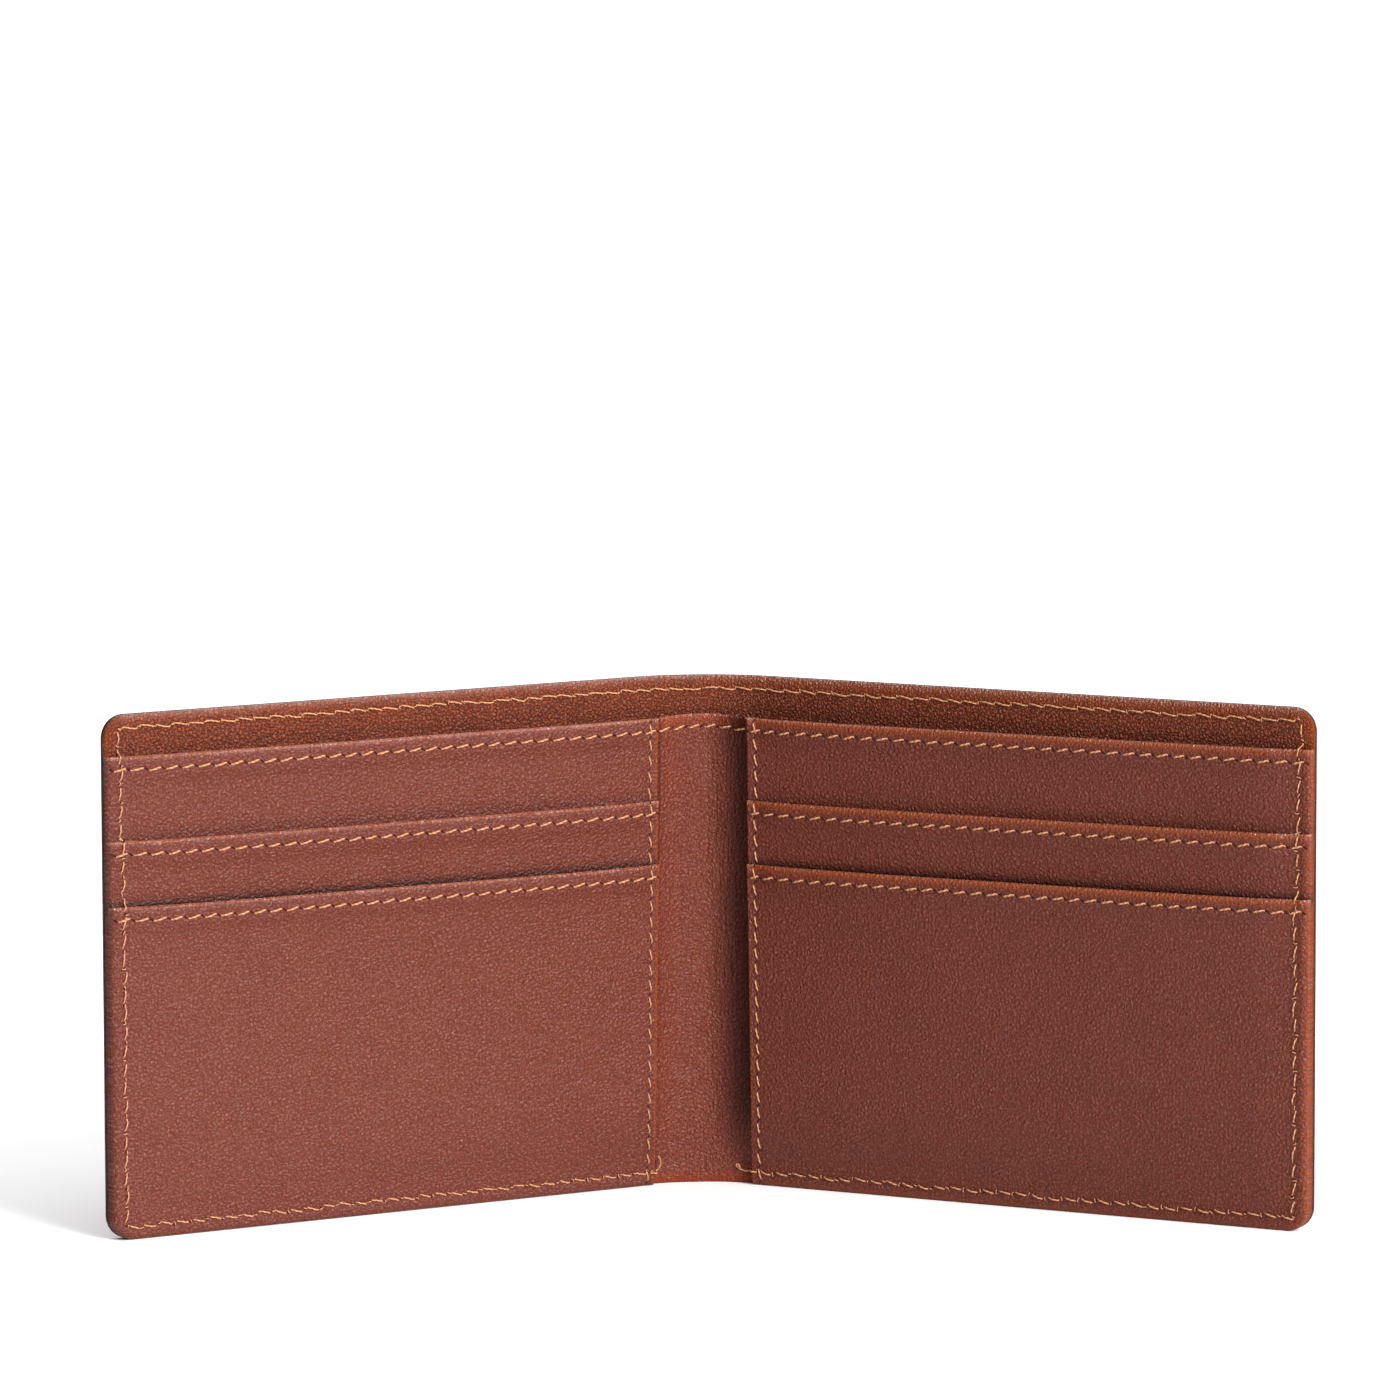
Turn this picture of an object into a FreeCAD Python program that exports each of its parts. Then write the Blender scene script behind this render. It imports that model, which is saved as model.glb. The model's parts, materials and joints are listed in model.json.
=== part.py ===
"""Bifold wallet in leather, standing half open on its lower edges.

Millimetres. +X runs across the open wallet, +Y points away from its open side, +Z is up. The origin is at
the middle of the wallet's footprint, on the surface that it stands on.

The wallet folds along two lines, one each side of a narrow spine. Each panel is drawn in its own frame:
local X runs from its fold line to its outer edge and local Z is up. "Depth" is the distance from the plane
through the fold line and the middle of the cover leather, counted towards the inside of the wallet.
"""

import FreeCAD, Part
import math
import os
import Sketcher

# Driving dimensions, in millimetres and degrees.
SIZES = {
    "cover_height": 83.0,
    "panel_height": 76.5,
    "middle_edge": 63.2,
    "front_edge": 52.9,
    "panel_length": 102.7,
    "corner_radius": 3.8,
    "spine_width": 10.4,
    "fold_angle": 28.97,
    "cover_thickness": 1.1,
    "lining_thickness": 0.5,
    "compartment_gap": 0.3,
    "backing_thickness": 0.45,
    "upper_thickness": 0.5,
    "middle_thickness": 0.45,
    "fabric_thickness": 0.2,
    "front_thickness": 0.5,
    "hem_thickness": 0.4,
    "hem_depth": 3.0,
    "hem_inset": 3.1,
    "hem_roll": 0.3,
    "seam_inset": 2.2,
    "hem_seam_inset": 2.05,
    "cover_start": 0.85,
    "lining_start": 1.4,
    "backing_start": 2.15,
    "stack_start": 3.8,
    "inner_seam": 5.4,
    "slot_floor": 12.4,
    "fabric_top": 43.0,
    "thread_width": 0.45,
    "thread_proud": 0.15,
}

LEFT = "left"
RIGHT = "right"
SPINE = "spine"

# Depth of each layer's back face: the sum of the layers behind it.
COVER_BACK = "-sizes.cover_thickness / 2"
LINING_BACK = "sizes.cover_thickness / 2"
LINING_FACE = f"{LINING_BACK} + sizes.lining_thickness"
BACKING_BACK = f"{LINING_FACE} + sizes.compartment_gap"
UPPER_BACK = f"{BACKING_BACK} + sizes.backing_thickness"
MIDDLE_BACK = f"{UPPER_BACK} + sizes.upper_thickness"
FRONT_BACK = f"{MIDDLE_BACK} + sizes.middle_thickness"
FRONT_FACE = f"{FRONT_BACK} + sizes.front_thickness"

# Places along a panel and up it.
FLOOR = "0"
OUTER_EDGE = "sizes.panel_length"
SIDE_SEAM = "sizes.panel_length - sizes.seam_inset"
LOW_SEAM = "sizes.seam_inset"
HIGH_SEAM = "sizes.cover_height - sizes.seam_inset"
HEM_FIRST = "sizes.stack_start + sizes.hem_inset"
HEM_LAST = "sizes.panel_length - sizes.hem_inset"

# A new sketch's outline before its constraints move it.
DRAFT_LOW = 10.0
DRAFT_HIGH = 20.0

document = FreeCAD.newDocument("bifold_wallet")


def fill_sheet():
    """The spreadsheet that every sub-part is bound to."""
    sheet = document.addObject("Spreadsheet::Sheet", "sizes")
    for row, (alias, value) in enumerate(SIZES.items(), start=1):
        sheet.set(f"A{row}", alias)
        sheet.set(f"B{row}", str(value))
        sheet.setAlias(f"B{row}", alias)
    document.recompute()


def place(thing, side):
    """Hangs a sub-part's own frame on its fold line, or on the middle of the spine."""
    panel_reach = "sizes.panel_length * sin(sizes.fold_angle * 1 deg)"
    stack_reach = f"({FRONT_FACE}) * cos(sizes.fold_angle * 1 deg)"
    thing.setExpression(
        "Placement.Base.y", f"({panel_reach} + {stack_reach} - sizes.cover_thickness / 2) / 2"
    )
    if side == SPINE:
        return
    across = "sizes.spine_width / 2"
    turn = "360 - sizes.fold_angle"
    if side == LEFT:
        across = f"-{across}"
        turn = "180 + sizes.fold_angle"
    thing.setExpression("Placement.Base.x", across)
    thing.Placement.Rotation = FreeCAD.Rotation(FreeCAD.Vector(0, 0, 1), 90)
    thing.setExpression("Placement.Rotation.Angle", f"({turn}) * 1 deg")


def origin_plane(body, role):
    """One of a body's own three planes."""
    return next(feature for feature in body.Origin.OriginFeatures if feature.Role == role)


def new_body(name, side):
    """An empty body that carries the node's name."""
    body = document.addObject("PartDesign::Body", name)
    body.Label = name
    place(body, side)
    return body


def pin_to_axis(sketch, vertex, kind, axis, place_text, name):
    """Fixes one coordinate of a sketch vertex: on the axis where the place is 0, else at its distance."""
    geometry, point = vertex
    if place_text == FLOOR:
        sketch.addConstraint(Sketcher.Constraint("PointOnObject", geometry, point, axis))
        return
    index = sketch.addConstraint(Sketcher.Constraint(kind, -1, 1, geometry, point, DRAFT_LOW))
    sketch.renameConstraint(index, name)
    sketch.setExpression(f"Constraints.{name}", place_text)


def rectangle(body, name, side, span, rise, depth):
    """A rectangle on a plane parallel to the panel. span is its start and end, rise its foot and top."""
    sketch = body.newObject("Sketcher::SketchObject", name)
    sketch.AttachmentSupport = [(origin_plane(body, "XZ_Plane"), "")]
    sketch.MapMode = "FlatFace"
    sketch.setExpression("AttachmentOffset.Base.z", f"-({depth})" if side == LEFT else depth)
    corners = [
        FreeCAD.Vector(DRAFT_LOW, DRAFT_LOW, 0),
        FreeCAD.Vector(DRAFT_HIGH, DRAFT_LOW, 0),
        FreeCAD.Vector(DRAFT_HIGH, DRAFT_HIGH, 0),
        FreeCAD.Vector(DRAFT_LOW, DRAFT_HIGH, 0),
    ]
    for start, end in zip(corners, corners[1:] + corners[:1]):
        sketch.addGeometry(Part.LineSegment(start, end), False)
    for line in range(4):
        sketch.addConstraint(Sketcher.Constraint("Coincident", line, 2, (line + 1) % 4, 1))
        sketch.addConstraint(Sketcher.Constraint("Vertical" if line % 2 else "Horizontal", line))
    pin_to_axis(sketch, (0, 1), "DistanceX", -2, span[0], "span_low")
    pin_to_axis(sketch, (2, 1), "DistanceX", -2, span[1], "span_high")
    pin_to_axis(sketch, (0, 1), "DistanceY", -1, rise[0], "rise_low")
    pin_to_axis(sketch, (2, 1), "DistanceY", -1, rise[1], "rise_high")
    return sketch


def pad(body, name, side, sketch, thickness):
    """Thickens a sketch towards the inside of the wallet."""
    feature = body.newObject("PartDesign::Pad", name)
    feature.Profile = sketch
    feature.Reversed = side == LEFT
    feature.setExpression("Length", thickness)
    document.recompute()
    return feature


def groove(body, side, runs):
    """Shallow grooves in the outside face, in which the seam's outer thread lies flush."""
    for number, (span, rise) in enumerate(runs, start=1):
        before = body.Shape.Volume
        sketch = rectangle(body, f"{body.Label}_groove_outline_{number}", side, span, rise, COVER_BACK)
        cut = body.newObject("PartDesign::Pocket", f"{body.Label}_groove_{number}")
        cut.Profile = sketch
        cut.Reversed = side != LEFT
        cut.setExpression("Length", "sizes.thread_proud")
        document.recompute()
        if not body.Shape.Volume < before:
            raise RuntimeError(f"{cut.Label} cut nothing")


def fillet(body, name, base, edge_test, radius):
    """Rounds the edges of a feature that pass the test."""
    picked = [f"Edge{i}" for i, edge in enumerate(base.Shape.Edges, start=1) if edge_test(edge)]
    feature = body.newObject("PartDesign::Fillet", name)
    feature.Base = (base, picked)
    feature.setExpression("Radius", radius)
    document.recompute()
    return feature


def edge_runs(edge, direction):
    """Whether an edge is straight and parallel to a local axis."""
    if len(edge.Vertexes) != 2 or not isinstance(edge.Curve, Part.Line):
        return False
    return abs(edge.Curve.Direction.dot(direction)) > 0.999


def outer_corner(edge, top_is_round):
    """Whether an edge is one of the outer corners that are trimmed round."""
    middle = edge.CenterOfMass
    at_side = abs(middle.x - SIZES["panel_length"]) < 0.01
    at_floor = abs(middle.z) < 0.01
    at_top = top_is_round and abs(middle.z - SIZES["cover_height"]) < 0.01
    return edge_runs(edge, FreeCAD.Vector(0, 1, 0)) and at_side and (at_floor or at_top)


def sheet_piece(name, side, span, rise, depth, thickness, corners="none"):
    """A flat piece of leather or fabric. corners is none, bottom or both: which outer corners are round."""
    body = new_body(f"{name}_{side}", side)
    sketch = rectangle(body, f"{name}_{side}_outline", side, span, rise, depth)
    solid = pad(body, f"{name}_{side}_sheet", side, sketch, thickness)
    if corners != "none":
        top_is_round = corners == "both"
        fillet(
            body,
            f"{name}_{side}_corners",
            solid,
            lambda edge: outer_corner(edge, top_is_round),
            "sizes.corner_radius",
        )
    return body


def add_hem(body, side, top, depth):
    """The turned edge along the top of a pocket: a thicker band with rolled long edges."""
    span = (HEM_FIRST, HEM_LAST)
    rise = (f"{top} - sizes.hem_depth", top)
    sketch = rectangle(body, f"{body.Label}_hem_outline", side, span, rise, depth)
    band = pad(body, f"{body.Label}_hem", side, sketch, "sizes.hem_thickness")
    front = max((vertex.Point.y for vertex in band.Shape.Vertexes), key=abs)

    def long_front_edge(edge):
        return edge_runs(edge, FreeCAD.Vector(1, 0, 0)) and abs(edge.CenterOfMass.y - front) < 0.01

    fillet(body, f"{body.Label}_roll", band, long_front_edge, "sizes.hem_roll")


def cover_spine():
    """The strip of cover leather between the fold lines, with a round edge on each fold line."""
    body = new_body(f"outer_cover_{SPINE}", SPINE)
    sketch = body.newObject("Sketcher::SketchObject", "outer_cover_spine_section")
    sketch.AttachmentSupport = [(origin_plane(body, "XY_Plane"), "")]
    sketch.MapMode = "FlatFace"
    half = SIZES["spine_width"] / 2
    radius = SIZES["cover_thickness"] / 2
    up = FreeCAD.Vector(0, 0, 1)
    right_end = Part.Circle(FreeCAD.Vector(half, 0, 0), up, radius)
    left_end = Part.Circle(FreeCAD.Vector(-half, 0, 0), up, radius)
    sketch.addGeometry(Part.ArcOfCircle(right_end, -math.pi / 2, math.pi / 2), False)
    sketch.addGeometry(
        Part.LineSegment(FreeCAD.Vector(half, radius, 0), FreeCAD.Vector(-half, radius, 0)), False
    )
    sketch.addGeometry(Part.ArcOfCircle(left_end, math.pi / 2, math.pi * 3 / 2), False)
    sketch.addGeometry(
        Part.LineSegment(FreeCAD.Vector(-half, -radius, 0), FreeCAD.Vector(half, -radius, 0)), False
    )
    for piece in range(4):
        sketch.addConstraint(Sketcher.Constraint("Tangent", piece, 2, (piece + 1) % 4, 1))
    sketch.addConstraint(Sketcher.Constraint("Equal", 0, 2))
    sketch.addConstraint(Sketcher.Constraint("Symmetric", 0, 3, 2, 3, -1, 1))
    sketch.addConstraint(Sketcher.Constraint("PointOnObject", 0, 3, -1))
    reach = sketch.addConstraint(Sketcher.Constraint("DistanceX", -1, 1, 0, 3, half))
    sketch.renameConstraint(reach, "fold_line")
    sketch.setExpression("Constraints.fold_line", "sizes.spine_width / 2")
    curve = sketch.addConstraint(Sketcher.Constraint("Radius", 0, radius))
    sketch.renameConstraint(curve, "edge_radius")
    sketch.setExpression("Constraints.edge_radius", "sizes.cover_thickness / 2")
    feature = body.newObject("PartDesign::Pad", "outer_cover_spine_sheet")
    feature.Profile = sketch
    feature.setExpression("Length", "sizes.cover_height")
    document.recompute()
    return body


def thread_bar(name, side, span, rise, depth):
    """A straight run of thread lying on the face at that depth."""
    bar = document.addObject("Part::Box", name)
    bar.setExpression("Length", f"({span[1]}) - ({span[0]})")
    bar.setExpression("Width", "sizes.thread_proud")
    bar.setExpression("Height", f"({rise[1]}) - ({rise[0]})")
    bar.setExpression("Placement.Base.x", span[0])
    bar.setExpression("Placement.Base.y", depth if side == LEFT else f"-({depth}) - sizes.thread_proud")
    bar.setExpression("Placement.Base.z", rise[0])
    return bar


def around(middle):
    """The two sides of a run of thread about its middle line."""
    return (f"{middle} - sizes.thread_width / 2", f"{middle} + sizes.thread_width / 2")


def thread_piece(name, side, runs):
    """A thread: its straight runs, fused where they meet."""
    bars = [
        thread_bar(f"{name}_{side}_run_{i}", side, span, rise, depth)
        for i, (span, rise, depth) in enumerate(runs, start=1)
    ]
    if len(bars) == 1:
        thread = document.addObject("Part::Compound", f"{name}_{side}")
        thread.Links = bars
    else:
        thread = document.addObject("Part::MultiFuse", f"{name}_{side}")
        thread.Shapes = bars
    thread.Label = f"{name}_{side}"
    place(thread, side)
    return thread


def outer_seam_runs():
    """Where the perimeter seam runs on the outside of a panel's cover: its top, its side and its bottom."""
    row_end = f"{SIDE_SEAM} + sizes.thread_width / 2"
    column = (f"{LOW_SEAM} + sizes.thread_width / 2", f"{HIGH_SEAM} - sizes.thread_width / 2")
    return [
        (("sizes.cover_start", row_end), around(f"({HIGH_SEAM})")),
        (around(f"({SIDE_SEAM})"), column),
        (("sizes.stack_start", row_end), around(LOW_SEAM)),
    ]


def build_spine():
    """The pieces between the two fold lines."""
    lining_half = "sizes.spine_width / 2 - sizes.lining_start"
    backing_half = "sizes.spine_width / 2 - sizes.backing_start"
    lining_span = (f"-({lining_half})", lining_half)
    backing_span = (f"-({backing_half})", backing_half)
    cover_span = ("-sizes.spine_width / 2", "sizes.spine_width / 2")
    hem_row = around("(sizes.panel_height - sizes.hem_seam_inset)")
    top_row = around(f"({HIGH_SEAM})")
    cover = cover_spine()
    groove(cover, SPINE, [(cover_span, top_row)])
    return [
        cover,
        sheet_piece(
            "cover_lining", SPINE, lining_span, (FLOOR, "sizes.cover_height"), LINING_BACK,
            "sizes.lining_thickness",
        ),
        sheet_piece(
            "inner_backing", SPINE, backing_span, (FLOOR, "sizes.panel_height"), BACKING_BACK,
            "sizes.backing_thickness",
        ),
        thread_piece("cover_needle_thread", SPINE, [(cover_span, top_row, COVER_BACK)]),
        thread_piece("cover_bobbin_thread", SPINE, [(lining_span, top_row, LINING_FACE)]),
        thread_piece("top_hem_thread", SPINE, [(backing_span, hem_row, UPPER_BACK)]),
    ]


def build_leather(side):
    """The cut pieces of one panel, from the cover inwards."""
    whole = (FLOOR, "sizes.cover_height")
    inner = (FLOOR, "sizes.panel_height")
    stack = ("sizes.stack_start", OUTER_EDGE)
    upper = sheet_piece("upper_pocket", side, stack, inner, UPPER_BACK, "sizes.upper_thickness", "bottom")
    add_hem(upper, side, "sizes.panel_height", MIDDLE_BACK)
    middle = sheet_piece(
        "middle_pocket", side, stack, ("sizes.fabric_top", "sizes.middle_edge"), MIDDLE_BACK,
        "sizes.middle_thickness",
    )
    add_hem(middle, side, "sizes.middle_edge", FRONT_BACK)
    front = sheet_piece(
        "front_pocket", side, stack, (FLOOR, "sizes.front_edge"), FRONT_BACK,
        "sizes.front_thickness", "bottom",
    )
    add_hem(front, side, "sizes.front_edge", FRONT_FACE)
    cover = sheet_piece(
        "outer_cover", side, ("sizes.cover_start", OUTER_EDGE), whole, COVER_BACK,
        "sizes.cover_thickness", "both",
    )
    groove(cover, side, outer_seam_runs())
    return [
        cover,
        sheet_piece(
            "cover_lining", side, ("sizes.lining_start", OUTER_EDGE), whole, LINING_BACK,
            "sizes.lining_thickness", "both",
        ),
        sheet_piece(
            "inner_backing", side, ("sizes.backing_start", OUTER_EDGE), inner, BACKING_BACK,
            "sizes.backing_thickness", "bottom",
        ),
        upper,
        middle,
        sheet_piece(
            "pocket_fabric", side, stack, ("sizes.slot_floor", "sizes.fabric_top"), MIDDLE_BACK,
            "sizes.fabric_thickness",
        ),
        front,
    ]


def side_column(middle, depth_steps):
    """Upright runs of thread that step back where each lower layer ends."""
    return [(around(middle), rise, depth) for rise, depth in depth_steps]


def build_threads(side):
    """The sewing threads of one panel."""
    low_row = around(LOW_SEAM)
    high_row = around(f"({HIGH_SEAM})")
    half_thread = "sizes.thread_width / 2"
    row_end = f"{SIDE_SEAM} + {half_thread}"
    steps = [
        ((f"{LOW_SEAM} + {half_thread}", "sizes.front_edge - sizes.hem_depth"), FRONT_FACE),
        (("sizes.front_edge", "sizes.middle_edge - sizes.hem_depth"), FRONT_BACK),
        (("sizes.middle_edge", "sizes.panel_height - sizes.hem_depth"), MIDDLE_BACK),
        (("sizes.panel_height", f"{HIGH_SEAM} - {half_thread}"), LINING_FACE),
    ]
    needle_runs = [(span, rise, COVER_BACK) for span, rise in outer_seam_runs()]
    bobbin_runs = [
        (("sizes.lining_start", row_end), high_row, LINING_FACE),
        (("sizes.stack_start", row_end), low_row, FRONT_FACE),
    ]
    bobbin_runs += side_column(f"({SIDE_SEAM})", steps)
    threads = [
        thread_piece("cover_needle_thread", side, needle_runs),
        thread_piece("cover_bobbin_thread", side, bobbin_runs),
        thread_piece("inner_seam_thread", side, side_column("sizes.inner_seam", steps[:3])),
    ]
    hem_span = (HEM_FIRST, HEM_LAST)
    hems = [
        ("top_hem_thread", "sizes.panel_height", MIDDLE_BACK),
        ("middle_hem_thread", "sizes.middle_edge", FRONT_BACK),
        ("front_hem_thread", "sizes.front_edge", FRONT_FACE),
    ]
    for name, top, depth in hems:
        row = around(f"({top} - sizes.hem_seam_inset)")
        threads.append(thread_piece(name, side, [(hem_span, row, f"{depth} + sizes.hem_thickness")]))
    base_row = ("sizes.slot_floor", "sizes.slot_floor + sizes.thread_width")
    base_depth = f"{MIDDLE_BACK} + sizes.fabric_thickness"
    threads.append(thread_piece("slot_base_thread", side, [(hem_span, base_row, base_depth)]))
    return threads


def check_all(pieces):
    """Stops before anything is written if a feature or a shape is not sound."""
    for thing in document.Objects:
        if "Invalid" in thing.State or "Error" in thing.State:
            raise RuntimeError(f"{thing.Label} did not recompute: {thing.State}")
    for piece in pieces:
        shape = piece.Shape
        if shape.isNull() or not shape.isValid() or not shape.Solids:
            raise RuntimeError(f"{piece.Label} has no sound solid")


def main():
    fill_sheet()
    pieces = build_spine()
    for side in (LEFT, RIGHT):
        pieces += build_leather(side)
        pieces += build_threads(side)
    document.recompute()
    check_all(pieces)
    os.makedirs("parts", exist_ok=True)
    for piece in pieces:
        piece.Shape.exportStep(os.path.join("parts", f"{piece.Label}.step"))
        box = piece.Shape.BoundBox
        size = f"{box.XLength:.1f} x {box.YLength:.1f} x {box.ZLength:.1f}"
        print(f"{piece.Label}: {piece.Shape.Volume:.1f} mm3, {size} mm")


main()
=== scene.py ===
"""Looks of the bifold wallet: curved leather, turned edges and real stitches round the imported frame."""
import json
import math
import random
from collections import namedtuple

import bpy
import numpy as np
from mathutils import Matrix, Vector


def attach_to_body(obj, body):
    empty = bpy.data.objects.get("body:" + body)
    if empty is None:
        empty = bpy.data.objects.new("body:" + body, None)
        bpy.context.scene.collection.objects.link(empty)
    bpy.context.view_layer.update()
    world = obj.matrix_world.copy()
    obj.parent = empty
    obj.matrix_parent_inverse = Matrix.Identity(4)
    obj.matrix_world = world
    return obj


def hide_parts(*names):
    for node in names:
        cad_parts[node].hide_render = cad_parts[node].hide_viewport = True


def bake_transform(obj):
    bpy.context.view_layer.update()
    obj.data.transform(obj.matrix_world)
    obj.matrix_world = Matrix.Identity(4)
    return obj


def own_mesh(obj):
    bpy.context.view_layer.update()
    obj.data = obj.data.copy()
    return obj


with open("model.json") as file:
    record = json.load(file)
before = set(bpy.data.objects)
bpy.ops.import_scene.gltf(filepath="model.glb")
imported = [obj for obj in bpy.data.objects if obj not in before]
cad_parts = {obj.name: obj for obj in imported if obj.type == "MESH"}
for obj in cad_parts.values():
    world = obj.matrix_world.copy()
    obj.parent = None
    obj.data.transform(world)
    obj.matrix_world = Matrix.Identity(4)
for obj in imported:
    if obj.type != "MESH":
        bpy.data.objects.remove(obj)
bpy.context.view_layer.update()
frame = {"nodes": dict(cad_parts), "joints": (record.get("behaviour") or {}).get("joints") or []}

MM = 0.001
SIDES = {"left": -1, "right": 1}

# ---------------- sizes in millimetres, read from the frame
JOINTS = {joint["name"]: joint for joint in frame["joints"]}
FOLD_X = JOINTS["right_fold"]["pos_m"][0] / MM
FOLD_Y = JOINTS["right_fold"]["pos_m"][1] / MM
FOLD_ANGLE = -math.radians(JOINTS["right_fold"]["range_deg"][0])
SIN, COS = math.sin(FOLD_ANGLE), math.cos(FOLD_ANGLE)

Box = namedtuple("Box", "inner back foot outer face top")


def node_box(node):
    """A CAD node of the right panel, measured along it: run, depth and height at their lowest and highest."""
    points = np.array([vertex.co for vertex in frame["nodes"][node].data.vertices]) / MM
    x, y = points[:, 0] - FOLD_X, points[:, 1] - FOLD_Y
    panel = np.stack([x * COS - y * SIN, -x * SIN - y * COS, points[:, 2]])
    return Box(*panel.min(axis=1), *panel.max(axis=1))


COVER = node_box("outer_cover_right")
LINING = node_box("cover_lining_right")
BACKING = node_box("inner_backing_right")
UPPER = node_box("upper_pocket_right")
MIDDLE = node_box("middle_pocket_right")
FABRIC = node_box("pocket_fabric_right")
FRONT = node_box("front_pocket_right")
END, TOP = COVER.outer, COVER.top
PANEL_TOP, MIDDLE_TOP, FRONT_TOP = UPPER.top, MIDDLE.top, FRONT.top
STACK = UPPER.inner
COMPARTMENT = BACKING.back - LINING.face

# ---------------- sizes of the leather and its seams, in millimetres
LINING_THICK, BACKING_THICK, FABRIC_THICK = 0.5, 0.45, 0.2
UPPER_THICK, MIDDLE_THICK, FRONT_THICK = 0.5, 0.45, 0.5
CORNER = 3.8
SEAM = 2.2
HEM_SEAM = 2.05
INNER_SEAM = STACK + 1.6
PITCH, INNER_PITCH, SLOT_PITCH = 2.9, 2.65, 3.4
THREAD_HALF = 0.165
# radii of each piece's inner, outer, foot and top edges. 0 is a flat cut
COVER_ROUNDS = (0, 0.28, 0.28, 0.28)
LINING_ROUNDS = (0, 0.22, 0.22, 0.22)
STRIP_ROUNDS = (0, 0, 0.2, 0.42)
BACKING_ROUNDS = (0, 0.2, 0.2, 0.42)
POCKET_ROUNDS = (0.22, 0.22, 0.2, 0.47)
FABRIC_ROUNDS = (0.05, 0, 0.05, 0.05)

# ---------------- how the soft parts depart from the flat frame
SPINE_RADIUS = 23.0
ARC_RUN = SPINE_RADIUS * math.tan(FOLD_ANGLE) - FOLD_X / COS
CENTRE_RUN = ARC_RUN - SPINE_RADIUS * FOLD_ANGLE
ARC_Y = FOLD_Y + FOLD_X * math.tan(FOLD_ANGLE) - SPINE_RADIUS / COS
STRIP_END = STACK + 1.0
STRIP_TUCK = 1.35
BOW = 0.6
MIDDLE_MOUTH, FRONT_MOUTH = 0.7, 0.8
FORWARD = 2.5
TAPER = 0.63
SPINE_LIFT = 0.4
HEM_SWELL = 0.55
HEM_DEPTH = 3.3
# the stack's trimmed edge: how much is rounded off each face and from how far in, and its full thickness
INNER_ROUND, INNER_REACH = 0.95, 1.25
OUTER_ROUND, OUTER_REACH = 0.25, 0.5
FULL_STACK = 3.8
# where the pieces that bend round the spine meet their panel; attach only uses these as a sign that a piece
# bends
COVER_BEND = FOLD_X + 5.0 * COS
STRIP_BEND = FOLD_X + (STACK - TAPER) * COS - (UPPER.back + 0.2) * SIN
# a run, depth and height on the pocket stack; attach works out its point but does not use it
SQUASH_AT = (50.0, 1.2, 40.0)
# ripples of the inner leather: size, then length across, length up and shift
RIPPLES = ((0.07, 6.3, 17.0, 0.0), (0.06, 9.1, -11.0, 2.0))

# ---------------- grid and surface coordinates
RUN_STEP, HEIGHT_STEP = 0.6, 1.4
GRID_FINE, GRID_GROWTH = 0.24, 0.35
UV_NAME = "surface"
UV_SCALE = 0.01

# ---------------- wear of the leather, partly painted light, in millimetres and shares
# how far in the rubbing reaches, how strong it is on trimmed edges and on inner edges, how far in it reaches
# there, and how far down a top edge's polish reaches
Wear = namedtuple("Wear", "depth trimmed inner inner_depth polish", defaults=(1.0, 1.0, 1.0, 1.0, 0.25))
STRIP_WEAR = Wear(depth=2.6)
# left and right differ as painted light and shade: each side's rubbed colour is set to how light falls on its
# edges
LINING_WEAR_AND_LIGHT = {
    "left": Wear(depth=3.4, trimmed=0.6, polish=0.5),
    "right": Wear(depth=3.4, trimmed=1.0, polish=0.5),
}
BACKING_WEAR_AND_LIGHT = {"left": Wear(trimmed=0.15), "right": Wear(trimmed=0.6)}
POCKET_WEAR_AND_LIGHT = {
    "left": Wear(depth=0.6, trimmed=0.15, inner=0.8, inner_depth=1.05),
    "right": Wear(depth=1.7, trimmed=0.6, inner=0.5, inner_depth=1.3),
}
# width of the painted shade on the strip beside the pockets, wider on the right
STRIP_SHADE_WIDTH = {-1: 0.6, 1: 4.3}
# how much paler than the leather its flecks are; the flecks are partly grain and partly painted glints
PALE_FLECK_AND_GLINT = 0.024

# ---------------- thread
RING = 8
CAP_QUADS = ((0, 7, 2, 1), (7, 6, 3, 2), (6, 5, 4, 3))
# loose ends of the under-thread: run, height and lift from where the pockets' edge meets the bottom seam
TAILS = {
    "left": (
        (1.2, 0.0, 0.15), (-0.2, -0.1, 0.5), (-1.0, 0.5, 0.9), (-1.3, 1.5, 1.0), (-0.9, 2.4, 1.2),
        (-0.4, 2.8, 1.5),
    ),
    "right": (
        (1.2, 0.0, 0.15), (-0.3, 0.1, 0.3), (-1.6, -0.2, 0.25), (-2.7, 0.2, 0.25), (-3.2, 0.8, 0.4),
        (-2.7, 1.0, 0.45), (-2.4, 0.3, 0.5),
    ),
}

# ---------------- camera, light and floor
CAMERA_LENS = 233.8
CAMERA_PLACE = (-0.03923, -1.4332, 0.25743)
CAMERA_HEADING, CAMERA_DOWN, CAMERA_ROLL = -1.532, 6.979, -0.16
WORLD_LEVEL = 1.98
WORLD_TOWARDS = (0.45, 0.0, 0.35)
WORLD_DARKEST, WORLD_BRIGHTEST = -0.2, 0.5
KEY_LEVEL = 1.37
KEY_SIZE, KEY_ACROSS, KEY_UP = 22, 39, 27
FLOOR_HALF = 12.0


# ---------------- curves
def wallet_points(side, run, depth, height):
    """Run, depth and height as points of the wallet's frame: straight along a panel, curved at the spine."""
    run, depth, height = np.broadcast_arrays(
        np.asarray(run, float), np.asarray(depth, float), np.asarray(height, float)
    )
    turn = np.minimum((run - CENTRE_RUN) / SPINE_RADIUS, FOLD_ANGLE)
    along = np.maximum(run - ARC_RUN, 0.0)
    x = (SPINE_RADIUS - depth) * np.sin(turn) + along * COS
    y = ARC_Y + (SPINE_RADIUS - depth) * np.cos(turn) - along * SIN
    return np.stack([side * x, y, height], axis=-1) * MM


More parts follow.
